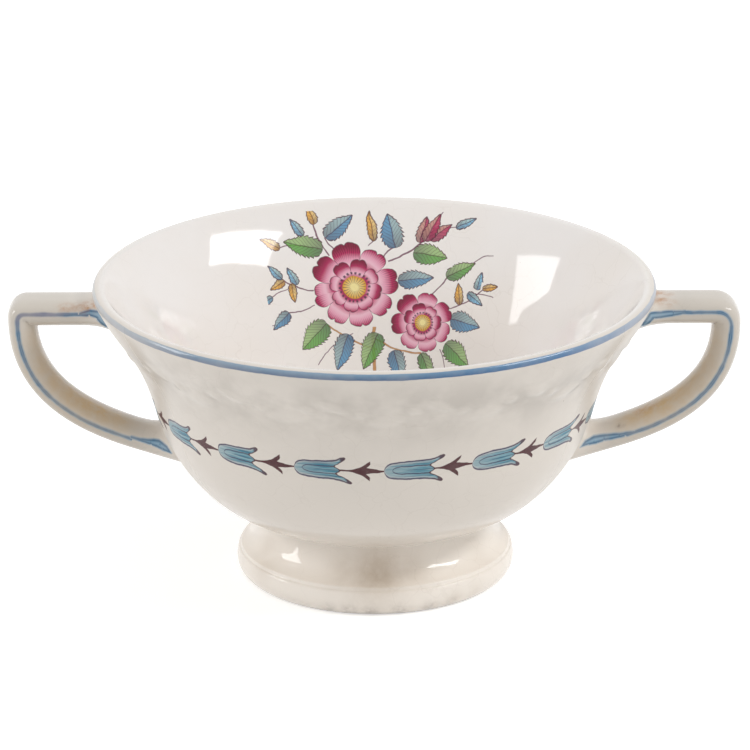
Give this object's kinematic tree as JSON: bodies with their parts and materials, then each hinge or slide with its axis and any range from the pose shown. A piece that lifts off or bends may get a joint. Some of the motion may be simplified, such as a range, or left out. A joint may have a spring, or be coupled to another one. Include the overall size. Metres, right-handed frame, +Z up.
{
  "type": "footed cream soup bowl",
  "caption": "Flared soup bowl on a low spreading foot, with a looped strap handle on each side and a faint leaf garland moulded under the rim.",
  "frame": {"origin": "centre of the foot's resting ring, on the table", "axes": "+Z up along the bowl's axis, X through both handles, Y across them"},
  "size_m": [0.1576, 0.121, 0.066],
  "materials": {
    "glazed_body": "gloss"
  },
  "bodies": {
    "root": {"bowl": "glazed_body"}
  },
  "joints": []
}
